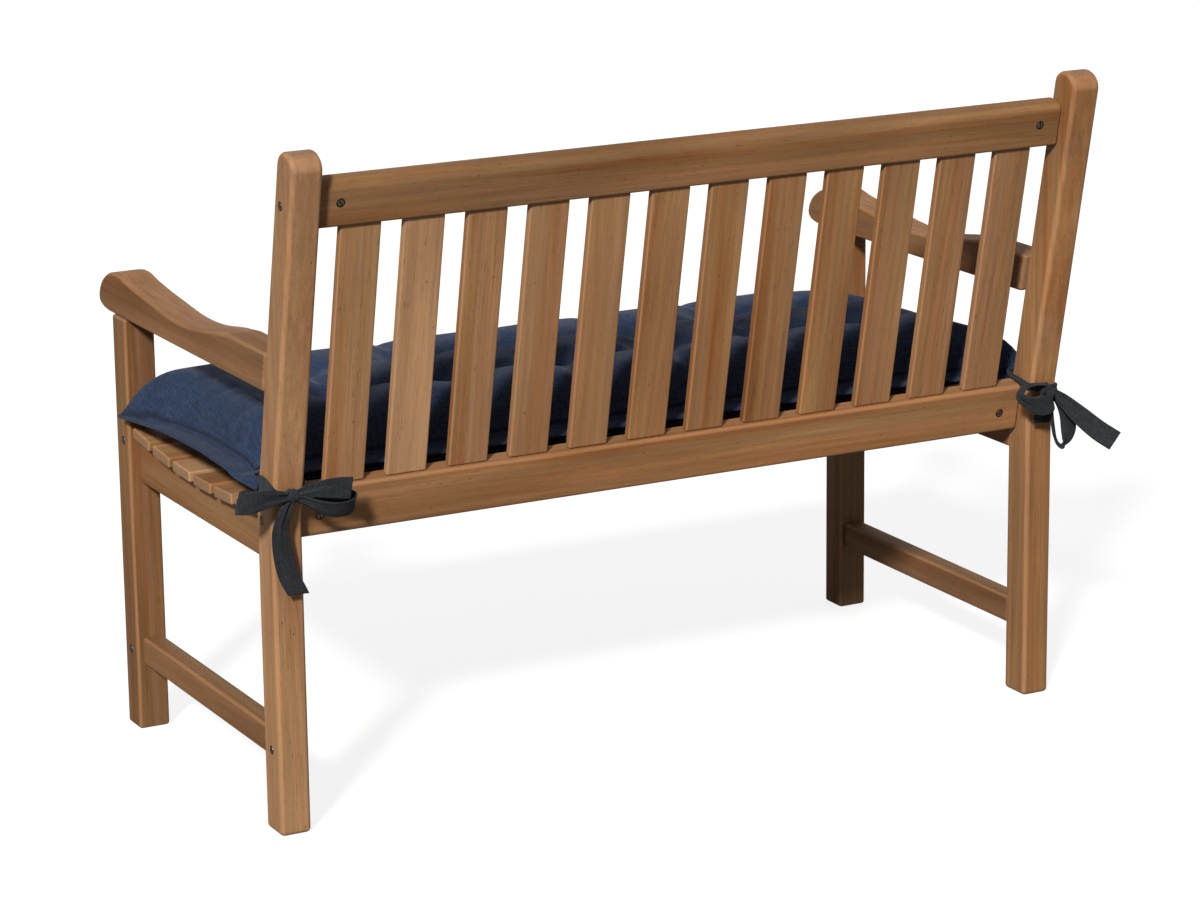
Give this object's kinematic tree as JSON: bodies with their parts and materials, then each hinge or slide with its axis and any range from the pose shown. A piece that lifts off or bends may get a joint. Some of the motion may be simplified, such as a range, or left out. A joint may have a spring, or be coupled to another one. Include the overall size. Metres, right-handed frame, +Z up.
{
  "type": "bench cushion with garden bench",
  "caption": "Tufted blue bench cushion with a flat sewn border, tied with ribbon bows to the back posts of a slatted wooden garden bench with scrolled armrests.",
  "frame": {"origin": "on the floor, under the middle of the bench with its cushion and ties", "axes": "+X along the bench to its right end as seen from in front, -Y the way a sitter faces, +Z up"},
  "size_m": [1.3119, 0.6905, 0.9158],
  "materials": {
    "blue_cloth": "matt woven cotton-like cloth, denim blue",
    "grey_ribbon": "ribbed charcoal ribbon, matt",
    "teak": "bare sanded hardwood with straight grain"
  },
  "bodies": {
    "root": {"cushion": "blue_cloth", "tie_right": "grey_ribbon", "tie_left": "grey_ribbon", "post_right": "teak", "post_left": "teak", "leg_right": "teak", "leg_left": "teak", "arm_right": "teak", "arm_left": "teak", "top_rail": "teak", "bottom_rail": "teak", "back_slat_01": "teak", "back_slat_02": "teak", "back_slat_03": "teak", "back_slat_04": "teak", "back_slat_05": "teak", "back_slat_06": "teak", "back_slat_07": "teak", "back_slat_08": "teak", "back_slat_09": "teak", "back_slat_10": "teak", "back_slat_11": "teak", "back_slat_12": "teak", "side_rail_right": "teak", "side_rail_left": "teak", "front_rail": "teak", "seat_slat_1": "teak", "seat_slat_2": "teak", "seat_slat_3": "teak", "seat_slat_4": "teak", "seat_slat_5": "teak", "seat_slat_6": "teak", "seat_slat_7": "teak", "stretcher_right": "teak", "stretcher_left": "teak"}
  },
  "joints": []
}
